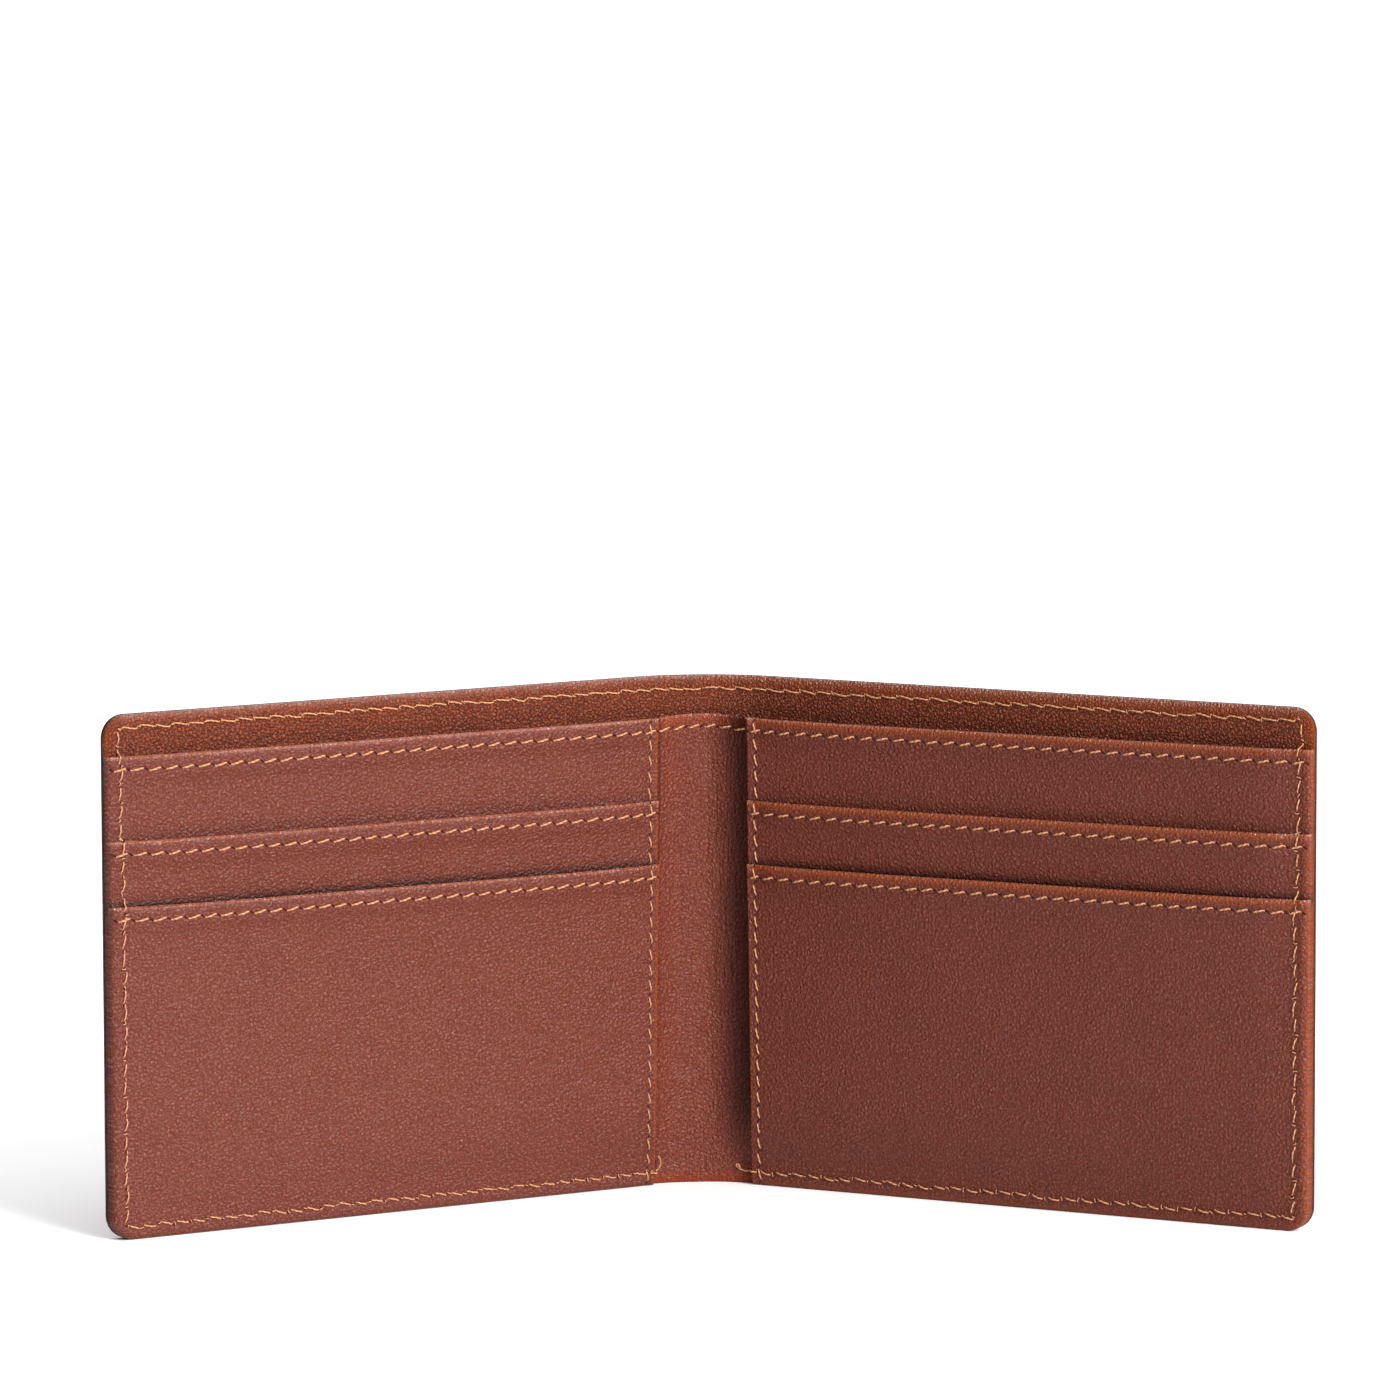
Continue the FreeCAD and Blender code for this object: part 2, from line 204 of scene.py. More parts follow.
def smooth(value, low, high):
    """0 below low, 1 above high, and smooth between."""
    t = np.clip((value - low) / (high - low), 0.0, 1.0)
    return t * t * (3 - 2 * t)


def bump(value, width):
    """A soft ridge of height 1 about 0."""
    return np.exp(-((value / width) ** 2))


def quarter_round(distance, reach):
    """1 at an edge and 0 at reach inside it, as a quarter circle."""
    return 1 - np.sqrt(1 - (1 - np.clip(distance / reach, 0, 1)) ** 2)


def running_mean(values, width):
    """The mean of each value and its neighbours, width of them in all."""
    return np.convolve(np.pad(values, width // 2, mode="edge"), np.ones(width) / width, "valid")


# ---------------- shape of each layer
def round_corners(run, height, low_corner, high_corner):
    """Moves the outer corners of a square grid onto round ones, and returns its run and height."""
    run, height = run.copy(), height.copy()
    for wanted, edge, sign in ((low_corner, 0.0, 1), (high_corner, TOP, -1)):
        if not wanted:
            continue
        a = (run - (END - CORNER)) / CORNER
        b = (edge + sign * CORNER - height) * sign / CORNER
        inside = (a > 0) & (b > 0)
        a, b = np.where(inside, a, 0.0), np.where(inside, b, 0.0)
        round_height = edge + sign * (CORNER - CORNER * b * np.sqrt(1 - a * a / 2))
        run = np.where(inside, END - CORNER + CORNER * a * np.sqrt(1 - b * b / 2), run)
        height = np.where(inside, round_height, height)
    return run, height


def inside_distance(run, height):
    """Distance inside the trimmed outline of the whole wallet: outer side, round corners, foot and top."""
    a = run - (END - CORNER)
    b = np.maximum(CORNER - height, height - (TOP - CORNER))
    corner = CORNER - np.hypot(np.maximum(a, 0), np.maximum(b, 0))
    return np.where((a > 0) & (b > 0), corner, np.minimum(END - run, np.minimum(height, TOP - height)))


def stack_thickness(height):
    """Thickness of everything sewn together at the margin, at a height."""
    steps = (
        (FRONT_TOP, FRONT_THICK),
        (MIDDLE_TOP, MIDDLE_THICK),
        (PANEL_TOP, UPPER.back + UPPER_THICK - LINING.face),
    )
    total = FRONT.back + FRONT_THICK - COVER.back
    for level, drop in steps:
        total = total - drop * smooth(height, level - 0.25, level + 0.25)
    return total


def squeeze(run, depth, height):
    """Closes the stack along its seams and rounds both faces of its trimmed edge, as burnishing does."""
    distance = np.clip(inside_distance(run, height), 0, None)
    held = 1 - smooth(np.minimum(END - run, height), SEAM, SEAM + 7.0)
    depth = depth - COMPARTMENT * held * smooth(depth, LINING.face, BACKING.back)
    total = stack_thickness(height)
    share = (depth - COVER.back) / total
    inner = INNER_ROUND * quarter_round(distance, INNER_REACH) * np.clip(total / FULL_STACK, 0.5, 1)
    outer = OUTER_ROUND * quarter_round(distance, OUTER_REACH)
    return depth - share * inner + (1 - share) * outer


def bow(run, height, top, mouth):
    """How far an inner layer stands forward between its seams: most at its top, with its mouth open a bit."""
    across = np.clip((run - INNER_SEAM) / (END - SEAM - INNER_SEAM), 0.0, 1.0)
    across = 1 - np.abs(2 * across - 1) ** 5
    up = np.sin(0.5 * math.pi * np.clip((height - SEAM) / (PANEL_TOP - SEAM), 0.0, 1.0))
    ripple = sum(size * np.sin(run / wide + height / tall + shift) for size, wide, tall, shift in RIPPLES)
    return across * (BOW * up + ripple * up + mouth * smooth(height, top - 14.0, top))


def seam(first, last, pitch):
    """A row of stitches: where it starts, the length of one stitch and how many there are."""
    count = round(abs(last - first) / pitch)
    return {"start": first, "step": (last - first) / count, "count": count}


SEAMS = {
    "top": seam(CENTRE_RUN, END - SEAM, PITCH),
    "side": seam(TOP - SEAM, SEAM, PITCH),
    "bottom": seam(END - SEAM, INNER_SEAM, PITCH),
    "inner": seam(0.6, PANEL_TOP - 0.35, INNER_PITCH),
    "hem": seam(STACK + 0.2, END - 0.7, PITCH),
    "strip": seam(STACK + 0.2, CENTRE_RUN, PITCH),
    "slot": seam(INNER_SEAM, END - SEAM, SLOT_PITCH),
}


def seam_press(distance, place_along, row, depth=0.13):
    """How far a row of stitches pulls the leather in, most at its needle holes."""
    phase = (place_along - SEAMS[row]["start"]) / SEAMS[row]["step"]
    pull = 0.5 + 0.5 * np.cos(2 * math.pi * phase) ** 3
    return depth * pull * bump(distance, 0.62)


def margin_press(run, height):
    """How far the perimeter seam pulls the cover or its lining in, along its side and top."""
    pull = seam_press(END - SEAM - run, height, "side")
    return np.maximum(pull, seam_press(TOP - SEAM - height, run, "top"))


def pressed(run, height, hem_top):
    """How far the seams pull an inner layer's face in."""
    on_stack = smooth(run, STACK - 0.2, STACK)
    pull = seam_press(END - SEAM - run, height, "side")
    pull = np.maximum(pull, seam_press(height - SEAM, run, "bottom") * on_stack)
    pull = np.maximum(pull, seam_press(run - INNER_SEAM, height, "inner", 0.11) * on_stack)
    return np.maximum(pull, seam_press(height - hem_top + HEM_SEAM, run, "hem", 0.12))


def hem_swell(run, height, top):
    """Extra thickness of the turned edge along a pocket's top. The side seams squash it."""
    band = smooth(height, top - HEM_DEPTH - 2.0, top - HEM_DEPTH + 1.4)
    held = 0.45 + 0.55 * smooth(run, INNER_SEAM, INNER_SEAM + 5) * smooth(END - SEAM - run, 0, 5)
    return HEM_SWELL * band * held


def outer_cover():
    """The cover's two faces: its outside is drawn in along the seams."""

    def inside(run, height):
        return LINING.back + 0 * run

    def outside(run, height):
        low = seam_press(height - SEAM, run, "bottom") * smooth(run, STACK - 1, STACK + 1)
        return COVER.back + np.maximum(margin_press(run, height), low)

    return outside, inside


def cover_lining():
    """The lining's two faces: its front is drawn in along the seams and puckered along its top."""

    def back_face(run, height):
        return LINING.back + 0 * run

    def front_face(run, height):
        phase = (run - SEAMS["top"]["start"]) / SEAMS["top"]["step"]
        pucker = 0.07 * np.cos(2 * math.pi * phase) * bump(height - TOP + 1.1, 0.8)
        pucker = pucker * (0.4 + bump(run - CENTRE_RUN, 14.0))
        return LINING.back + LINING_THICK - margin_press(run, height) - pucker

    return back_face, front_face


def inner_layer(back, thickness, top, mouth=0.0, hemmed=True):
    """The back and front faces of a bowed layer of the inner leather, as functions of run and height."""

    def back_face(run, height):
        return back + bow(run, height, top, mouth)

    def front_face(run, height):
        face = back_face(run, height) + thickness
        if hemmed:
            return face + hem_swell(run, height, top) - pressed(run, height, top)
        return face

    return back_face, front_face


LAYERS = {
    "cover": outer_cover(),
    "lining": cover_lining(),
    "backing": inner_layer(BACKING.back, BACKING_THICK, PANEL_TOP),
    "upper": inner_layer(UPPER.back, UPPER_THICK, PANEL_TOP),
    "middle": inner_layer(MIDDLE.back, MIDDLE_THICK, MIDDLE_TOP, MIDDLE_MOUTH),
    "fabric": inner_layer(FABRIC.back, FABRIC_THICK, MIDDLE_TOP, hemmed=False),
    "front": inner_layer(FRONT.back, FRONT_THICK, FRONT_TOP, FRONT_MOUTH),
}


def wrinkles(dice):
    """Short upright creases in the spine strip: place across it, middle height and half length of each."""
    return [(dice.uniform(-4.2, 3.6), dice.uniform(30, 72), dice.uniform(4, 11)) for _ in range(16)]


WRINKLES = wrinkles(random.Random("creases"))


def strip_layer(side):
    """The faces of the strip across the spine: a creased ridge, with ends drawn in behind the pockets."""
    back, front = LAYERS["backing"]

    def ridge(run, height):
        across = side * (run - CENTRE_RUN)
        rise = 0.30 * bump(across + 1.6, 2.0) * (0.35 + 0.65 * smooth(height, 5, 60))
        for middle, at, half in WRINKLES:
            lean = 0.05 * (height - at)
            rise = rise - 0.07 * bump(across - middle - lean, 0.32) * bump(height - at, half)
        tuck = STRIP_TUCK * smooth(run, STACK - 0.15, STACK + 0.6) * smooth(height, SEAM, 40.0)
        return rise * (1 - smooth(run, STACK - 1.5, STACK)) - tuck

    def ridged_back(run, height):
        return back(run, height) + ridge(run, height)

    def ridged_front(run, height):
        return front(run, height) + ridge(run, height)

    return ridged_back, ridged_front


# ---------------- placing the layers
def taper(run, height):
    """The pockets' inner edges lean a little towards the spine at the top."""
    near = smooth(run, CENTRE_RUN, STACK) * (1 - smooth(run, 10.0, 40.0))
    return TAPER * (2 * height / PANEL_TOP - 1) * near


def forward(run, height):
    """How far the inner leather stands off the cover: most at the pockets' inner edges."""
    across = np.clip((run - CENTRE_RUN) / (STACK - CENTRE_RUN), 0.0, 1.0)
    outwards = np.clip((END - SEAM - run) / (END - SEAM - STACK), 0.0, 1.0)
    return FORWARD * across**2.3 * outwards * smooth(height, SEAM - 1.0, SEAM + 13.0)


def place(side, run, depth, height, inner=False):
    """Points of a piece in the wallet's frame. Inner leather leans, rises at the spine and stands forward."""
    if not inner:
        return wallet_points(side, run, depth, height).reshape(-1, 3)
    raised = height + SPINE_LIFT * bump(run - CENTRE_RUN, 7.0) * (height / PANEL_TOP) ** 2
    points = wallet_points(side, run - taper(run, height), depth, raised)
    points[..., 1] -= forward(run, height) * MM
    return points.reshape(-1, 3)


# ---------------- meshes
def rounded_lines(radius):
    """Grid lines over a rounded edge, evenly spaced round its quarter circle."""
    return radius * (1 - np.cos(np.linspace(0, math.pi / 2, 6)))[:-1] if radius else np.array([])


def grid_lines(low, high, step, zones, low_round, high_round):
    """Places of grid lines: far apart, but close in zones of (centre, half width) and at rounded edges."""
    start, stop = low + low_round, high - high_round
    lines = [start]
    while lines[-1] < stop:
        away = [max(0.0, abs(lines[-1] - centre) - width) for centre, width in zones]
        lines.append(lines[-1] + min([step] + [GRID_FINE + distance * GRID_GROWTH for distance in away]))
    lines = np.array(lines)
    lines = start + (lines - start) * (stop - start) / (lines[-1] - start)
    return np.concatenate([low + rounded_lines(low_round), lines, (high - rounded_lines(high_round))[::-1]])


def mesh_object(name, points, quads, uv, materials):
    """A smooth mesh object. Its quads are turned to face outwards if the closed shape's volume is below 0."""
    corners = points[quads]
    area = np.cross(corners[:, 2] - corners[:, 0], corners[:, 3] - corners[:, 1])
    if np.einsum("ij,ij->", corners.mean(axis=1), area) < 0:
        quads = quads[:, ::-1]
    mesh = bpy.data.meshes.new(name)
    mesh.vertices.add(len(points))
    mesh.vertices.foreach_set("co", np.asarray(points, np.float32).ravel())
    mesh.loops.add(quads.size)
    mesh.loops.foreach_set("vertex_index", quads.astype(np.int32).ravel())
    mesh.polygons.add(len(quads))
    mesh.polygons.foreach_set("loop_start", np.arange(0, quads.size, 4, dtype=np.int32))
    mesh.polygons.foreach_set("use_smooth", np.ones(len(quads), bool))
    mesh.update(calc_edges=True)
    layer_uv = mesh.uv_layers.new(name=UV_NAME)
    layer_uv.data.foreach_set("uv", (uv * UV_SCALE)[quads.ravel()].astype(np.float32).ravel())
    for material in materials:
        mesh.materials.append(material)
    obj = bpy.data.objects.new(name, mesh)
    bpy.context.scene.collection.objects.link(obj)
    return obj


def crease_painted_shade(run, height):
    """Painted shade: 1 in the crease above each lower pocket's edge, fading out upwards."""
    shade = np.zeros_like(run)
    own_top = height.max()
    for level, start in ((PANEL_TOP, CENTRE_RUN - 1.0), (MIDDLE_TOP, STACK), (FRONT_TOP, STACK)):
        if level > own_top - 1.0:
            continue
        above = np.maximum(height - level, 0.0)
        fading = 0.65 * np.exp(-above / 0.3) + 0.35 * np.exp(-above / 1.2)
        fading = np.where(height > level - 0.3, fading, 0.0)
        shade = np.maximum(shade, fading * smooth(run, start - 0.3, start + 0.7))
    return shade


def no_painted_shade(run, height):
    """No painted shade on the outer cover, which has no crease."""
    return 0 * run


def strip_painted_shade(side):
    """Painted shade on the strip across the spine, darkest beside the pockets' inner edges."""

    def shade(run, height):
        beside = bump(np.minimum(run - STACK, 0.0), STRIP_SHADE_WIDTH[side]) * smooth(height, 2.0, 14.0)
        return np.maximum(beside, crease_painted_shade(run, height))

    return shade


def edge_share(run, height, spans, rounds, half):
    """Share of a sheet's half thickness that is left at each point, where rounded edges take some away."""
    (run_low, _), (height_low, height_high) = spans
    distances = (run - run_low, inside_distance(run, height), height - height_low, height_high - height)
    share = np.ones_like(run)
    for distance, radius in zip(distances, rounds):
        if radius:
            taken = np.minimum(radius / half, 0.97) * quarter_round(distance, radius)
            share = np.minimum(share, 1 - taken)
    return share


def rubbed_and_lit_share(run, height, spans, inner, wear):
    """How rubbed a sheet is: along its top, along a rounded inner edge and along the trimmed outline. The
    per-side strengths are partly painted light.
    """
    (run_low, _), (_, height_high) = spans
    at_top = wear.trimmed if height_high == TOP else 1.0
    rubbed = at_top * np.clip(1 - (height_high - height) / wear.depth, 0, 1)
    if inner:
        rubbed = np.maximum(rubbed, wear.inner * np.clip(1 - (run - run_low) / wear.inner_depth, 0, 1))
    outline = inside_distance(run, height)
    return np.maximum(rubbed, wear.trimmed * np.clip(1 - outline / wear.depth, 0, 1))


def closed_quads(columns, rows):
    """Quads of a closed sheet's back, front and rim, and the vertex numbers of its back as a grid."""
    count = columns * rows
    index = np.arange(count).reshape(columns, rows)
    inside = np.stack([index[:-1, :-1], index[1:, :-1], index[1:, 1:], index[:-1, 1:]], axis=-1)
    inside = inside.reshape(-1, 4)
    loop = np.concatenate([index[:, 0], index[-1, 1:], index[-2::-1, -1], index[0, -2:0:-1]])
    after = np.roll(loop, -1)
    rim = np.stack([after, loop, loop + count, after + count], axis=-1)
    return np.concatenate([inside[:, ::-1], inside + count, rim]), index


def sharpen(obj, cut, count):
    """Marks a flat cut sharp, so that the two halves of a leather piece shade as one."""
    chosen = np.zeros(len(obj.data.vertices), bool)
    chosen[cut] = True
    chosen[cut + count] = True
    pairs = np.zeros(len(obj.data.edges) * 2, np.int32)
    obj.data.edges.foreach_get("vertices", pairs)
    marks = chosen[pairs.reshape(-1, 2)].all(axis=1)
    attribute = obj.data.attributes.get("sharp_edge")
    attribute = attribute or obj.data.attributes.new("sharp_edge", "BOOLEAN", "EDGE")
    before = np.zeros(len(marks), bool)
    attribute.data.foreach_get("value", before)
    attribute.data.foreach_set("value", marks | before)


def sheet(name, side, spans, faces, material, rounds, zones, corners=(False, False), inner_leather=False,
          painted_shade=crease_painted_shade, wear=Wear()):
    """A closed sheet between its back and front faces. rounds are its edge radii: inner, outer, foot, top."""
    inner, outer, foot, top = rounds
    runs = grid_lines(*spans[0], RUN_STEP, zones[0], inner, outer)
    heights = grid_lines(*spans[1], HEIGHT_STEP, zones[1], foot, top)
    flat_run, flat_height = np.meshgrid(runs, heights, indexing="ij")
    run, height = round_corners(flat_run, flat_height, *corners)
    back, front = (face(run, height) for face in faces)
    half = np.maximum((front - back) / 2, 0.02)
    left = half * edge_share(run, height, spans, rounds, half)
    points = [
        place(side, run, squeeze(run, (back + front) / 2 + sign * left, height), height, inner_leather)
        for sign in (-1, 1)
    ]
    quads, index = closed_quads(*run.shape)
    uv = np.stack([flat_run.ravel() * side, flat_height.ravel()], axis=-1)
    back_uv = uv + 2 * half.reshape(-1, 1)
    obj = mesh_object(name, np.concatenate(points), quads, np.concatenate([back_uv, uv]), [material])
    # the last of these is painted shade, which darkens the leather in creases and beside the pockets
    shades = {
        "edge": rubbed_and_lit_share(run, height, spans, inner, wear),
        "polish": np.exp(-np.maximum(spans[1][1] - height - 0.05, 0) / wear.polish),
        "crease_painted_shade": painted_shade(run, height),
    }
    for key, values in shades.items():
        attribute = obj.data.attributes.new(key, "FLOAT", "POINT")
        attribute.data.foreach_set("value", np.tile(values.ravel(), 2).astype(np.float32))
    for radius, cut in ((inner, index[0]), (outer, index[-1])):
        if not radius:
            sharpen(obj, cut, index.size)
    return obj


def attach(obj, side_name, node, bend_end=0.0):
    """Fixes a piece to its panel in place of its CAD nodes. Given bend_end, the piece is left unattached,
    with its transform baked in.
    """
    side = SIDES[side_name]
    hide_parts(f"{node}_{side_name}")
    if bend_end:
        if side < 0:
            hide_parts(f"{node}_spine")
        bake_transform(obj)
        return
    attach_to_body(obj, f"{side_name}_panel")
    anchor = wallet_points(side, *SQUASH_AT)
    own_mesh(obj)


# ---------------- materials
def linear(red, green, blue):
    """An 8-bit sRGB colour as Blender's linear RGBA."""
    channels = (c / 255 for c in (red, green, blue))
    return tuple(c / 12.92 if c <= 0.04045 else ((c + 0.055) / 1.055) ** 2.4 for c in channels) + (1.0,)


class Nodes:
    """A material's node tree, with short calls for the nodes that this wallet's materials share."""

    def __init__(self, name):
        self.material = bpy.data.materials.new(name)
        self.material.use_nodes = True
        self.tree = self.material.node_tree
        self.shader = self.tree.nodes["Principled BSDF"]

    def feed(self, socket, value):
        """Links value to an input if it is a socket, and otherwise sets the input to it."""
        if isinstance(value, bpy.types.NodeSocket):
            self.tree.links.new(value, socket)
        else:
            socket.default_value = value

    def add(self, kind, inputs=(), **settings):
        """A new node, with its settings and its inputs, which are values or sockets."""
        made = self.tree.nodes.new(kind)
        for key, value in settings.items():
            setattr(made, key, value)
        for key, value in dict(inputs).items():
            self.feed(made.inputs[key], value)
        return made

    def math(self, operation, first, second=0.0):
        """One operation on two numbers."""
        return self.add("ShaderNodeMath", {0: first, 1: second}, operation=operation).outputs[0]

    def vector(self, operation, first, second):
        """One operation on two vectors."""
        return self.add("ShaderNodeVectorMath", {0: first, 1: second}, operation=operation).outputs[0]

    def mix(self, share, first, second):
        """A colour between first and second."""
        return self.add("ShaderNodeMix", {0: share, 6: first, 7: second}, data_type="RGBA").outputs[2]

    def ranged(self, value, low, high, to_low, to_high):
        """value from low to high, as to_low to to_high."""
        keys = ("Value", "From Min", "From Max", "To Min", "To Max")
        return self.add("ShaderNodeMapRange", zip(keys, (value, low, high, to_low, to_high))).outputs[0]

    def surface(self):
        """The surface's own coordinates in millimetres."""
        uv = self.add("ShaderNodeUVMap", uv_map=UV_NAME)
        return self.vector("MULTIPLY", uv.outputs[0], (1 / UV_SCALE,) * 3)

    def attribute(self, key):
        """A number that the mesh holds at each of its points."""
        return self.add("ShaderNodeAttribute", attribute_name=key).outputs["Fac"]

    def noise(self, vector, scale, detail=3.0, roughness=0.55):
        """Noise of so many waves to the millimetre."""
        inputs = {"Vector": vector, "Scale": scale, "Detail": detail, "Roughness": roughness}
        return self.add("ShaderNodeTexNoise", inputs).outputs["Fac"]

    def bump(self, height, distance):
        """The normal of a relief, distance millimetres deep where height goes from 0 to 1."""
        inputs = {"Height": height, "Distance": distance * MM, "Strength": 1.0}
        return self.add("ShaderNodeBump", inputs).outputs[0]

    def finish(self, colour, roughness, normal, specular):
        """The material, with its shader fed."""
        keys = ("Base Color", "Roughness", "Normal", "Specular IOR Level")
        for key, value in zip(keys, (colour, roughness, normal, specular)):
            self.feed(self.shader.inputs[key], value)
        return self.material


def grain(nodes, place_mm, cell):
    """The leather's pebbles, cell millimetres apart: 1 on top of each and 0 in the valleys between them."""
    noise = nodes.add("ShaderNodeTexNoise", {"Vector": place_mm, "Scale": 0.8 / cell, "Detail": 2.0})
    drift = nodes.vector("MULTIPLY", noise.outputs["Color"], (cell * 1.1,) * 3)
    inputs = {"Vector": nodes.vector("ADD", place_mm, drift), "Scale": 1 / cell, "Randomness": 1.0}
    cells = nodes.add("ShaderNodeTexVoronoi", inputs, feature="DISTANCE_TO_EDGE")
    return nodes.ranged(cells.outputs["Distance"], 0.0, 0.42, 0.0, 1.0)


def leather_colour(nodes, place_mm, colours, pebble, rubbed, cell, mottle):
    """The base colour with dark valleys, specks, clouds, pale flecks that are partly painted glints, rubbed
    edges and painted shade in creases.
    """
    base, deep, rim = colours
    valley = nodes.math("MULTIPLY", nodes.ranged(pebble, 0.0, 0.8, 1.0, 0.0), mottle)
    speck = nodes.ranged(nodes.noise(place_mm, 1.2 / cell, 3.0, 0.7), 0.5, 0.7, 0.0, mottle)
    cloud = nodes.ranged(nodes.noise(place_mm, 0.11, 6.0, 0.66), 0.38, 0.72, 0.0, 0.16)
    share = nodes.math("ADD", nodes.math("MAXIMUM", valley, speck), cloud)
    # pale flecks: partly the grain's own tone, partly painted glints
    fleck_and_glint = nodes.ranged(nodes.noise(place_mm, 1.7 / cell, 2.0, 0.5), 0.53, 0.68, 0.0, 1.0)
    pale = tuple(1.1 * channel + PALE_FLECK_AND_GLINT for channel in base[:3]) + (1.0,)
    colour = nodes.mix(fleck_and_glint, nodes.mix(share, base, deep), pale)
    colour = nodes.mix(rubbed, colour, nodes.mix(nodes.math("MULTIPLY", share, 0.6), rim, deep))
    # painted shade: darkens the colour wherever the mesh's shade attribute is set
    painted_shade_share = nodes.math("MULTIPLY", nodes.attribute("crease_painted_shade"), 0.9)
    return nodes.mix(painted_shade_share, colour, tuple(0.5 * channel for channel in deep))


def leather(name, base, deep, rim, cell, relief, mottle, roughness, specular=0.2, crease=0.0):
    """Grained leather: base on the grain, deep in its valleys and in patches, rim where an edge is rubbed."""
    nodes = Nodes(name)
    place_mm = nodes.surface()
    pebble = grain(nodes, place_mm, cell)
    fibre = nodes.noise(place_mm, 1.5 / cell, 2.0, 0.6)
    uneven = nodes.ranged(nodes.noise(place_mm, 1.6, 4.0), 0.3, 0.7, -0.35, 0.35)
    rubbed = nodes.ranged(nodes.math("ADD", nodes.attribute("edge"), uneven), 0.2, 0.8, 0.0, 1.0)
    colours = (linear(*base), linear(*deep), linear(*rim))
    colour = leather_colour(nodes, place_mm, colours, pebble, rubbed, cell, mottle)
    height = nodes.math("ADD", nodes.math("MULTIPLY", pebble, 0.6), nodes.math("MULTIPLY", fibre, 0.7))
    if crease:
        stretched = nodes.vector("MULTIPLY", place_mm, (1.5, 0.16, 1.0))
        height = nodes.math("ADD", height, nodes.math("MULTIPLY", nodes.noise(stretched, 1.0), crease))
    gloss = nodes.ranged(fibre, 0.3, 0.7, roughness - 0.07, roughness + 0.09)
    gloss = nodes.math("SUBTRACT", gloss, nodes.math("MULTIPLY", rubbed, 0.14))
    shine = nodes.ranged(rubbed, 0.0, 1.0, specular, 0.5 * specular)
    shine = nodes.math("ADD", shine, nodes.math("MULTIPLY", nodes.attribute("polish"), 1.1))
    return nodes.finish(colour, gloss, nodes.bump(height, relief), shine)


def woven(name, base, deep):
    """Plain-woven pocket lining, two threads to the millimetre."""
    nodes = Nodes(name)
    axes = nodes.add("ShaderNodeSeparateXYZ", {0: nodes.surface()}).outputs
    across = nodes.math("SINE", nodes.math("MULTIPLY", axes[0], 2 * math.pi))
    along = nodes.math("SINE", nodes.math("MULTIPLY", axes[1], 2 * math.pi))
    weave = nodes.math("MULTIPLY", across, along)
    colour = nodes.mix(nodes.ranged(weave, -1.0, 1.0, 0.0, 1.0), linear(*base), linear(*deep))
    gloss = nodes.ranged(weave, -1.0, 1.0, 0.75, 0.9)
    return nodes.finish(colour, gloss, nodes.bump(weave, 0.05), 0.2)


def twisted(name, base, deep, turn):
    """Two-ply thread: slanting plies, with painted shade between them. The surface's v counts once round the
    thread.
    """
    nodes = Nodes(name)
    place_mm = nodes.surface()
    axes = nodes.add("ShaderNodeSeparateXYZ", {0: place_mm}).outputs
    slant = nodes.math("ADD", nodes.math("MULTIPLY", axes[0], 1 / turn), axes[1])
    ply = nodes.math("SINE", nodes.math("MULTIPLY", slant, 2 * math.pi))
    fuzz = nodes.noise(place_mm, 4.0, 2.0)
    # painted shade in the grooves between the plies
    between = nodes.ranged(ply, -1.0, 1.0, 0.55, 0.0)
    share = nodes.math("ADD", between, nodes.ranged(fuzz, 0.3, 0.7, -0.1, 0.35))
    colour = nodes.mix(share, linear(*base), linear(*deep))
    gloss = nodes.ranged(fuzz, 0.3, 0.7, 0.5, 0.7)
    return nodes.finish(colour, gloss, nodes.bump(ply, 0.05), 0.3)


# needle holes: dark spots of painted shade laid on the leather where the holes are
NEEDLE_HOLE_SHADE = leather(
    "needle_hole_shade", (40, 14, 7), (22, 7, 4), (30, 10, 6),
    cell=0.3, relief=0.02, mottle=0.4, roughness=0.8, specular=0.1,
)
COVER_LEATHER = leather(
    "cover_leather", (99, 41, 26), (62, 20, 11), (46, 19, 12),
    cell=0.7, relief=0.22, mottle=0.45, roughness=0.42,
)
LINING_LEATHER = leather(
    "lining_leather", (126, 53, 22), (36, 8, 2), (134, 60, 22),
    cell=0.62, relief=0.34, mottle=0.85, roughness=0.46,
)
POCKET_LEATHER = leather(
    "pocket_leather", (99, 40, 23), (66, 22, 11), (132, 57, 16),
    cell=0.7, relief=0.25, mottle=0.5, roughness=0.42, specular=0.25,
)
SPINE_LEATHER = leather(
    "spine_leather", (107, 43, 25), (58, 18, 8), (126, 52, 24),
    cell=0.7, relief=0.25, mottle=0.47, roughness=0.4, specular=0.25, crease=1.1,
)
POCKET_FABRIC = woven("pocket_fabric", (96, 58, 44), (62, 34, 26))
THREAD = twisted("thread", (202, 145, 106), (134, 82, 52), turn=0.9)


# ---------------- leather pieces
def make_cover(side_name):
    """One side of the outer cover and of its lining."""
    side = SIDES[side_name]
    spans = ((CENTRE_RUN, END), (0.0, TOP))
    zones = ([(END - SEAM, 1.0)], [(SEAM, 0.8), (TOP - SEAM, 0.8)])
    cover = sheet(
        f"cover_{side_name}", side, spans, LAYERS["cover"], COVER_LEATHER, COVER_ROUNDS, zones,
        corners=(True, True), painted_shade=no_painted_shade,
    )
    attach(cover, side_name, "outer_cover", COVER_BEND)
    lining = sheet(
        f"lining_{side_name}", side, spans, LAYERS["lining"], LINING_LEATHER, LINING_ROUNDS, zones,
        corners=(True, True), wear=LINING_WEAR_AND_LIGHT[side_name],
    )
    attach(lining, side_name, "cover_lining", COVER_BEND)


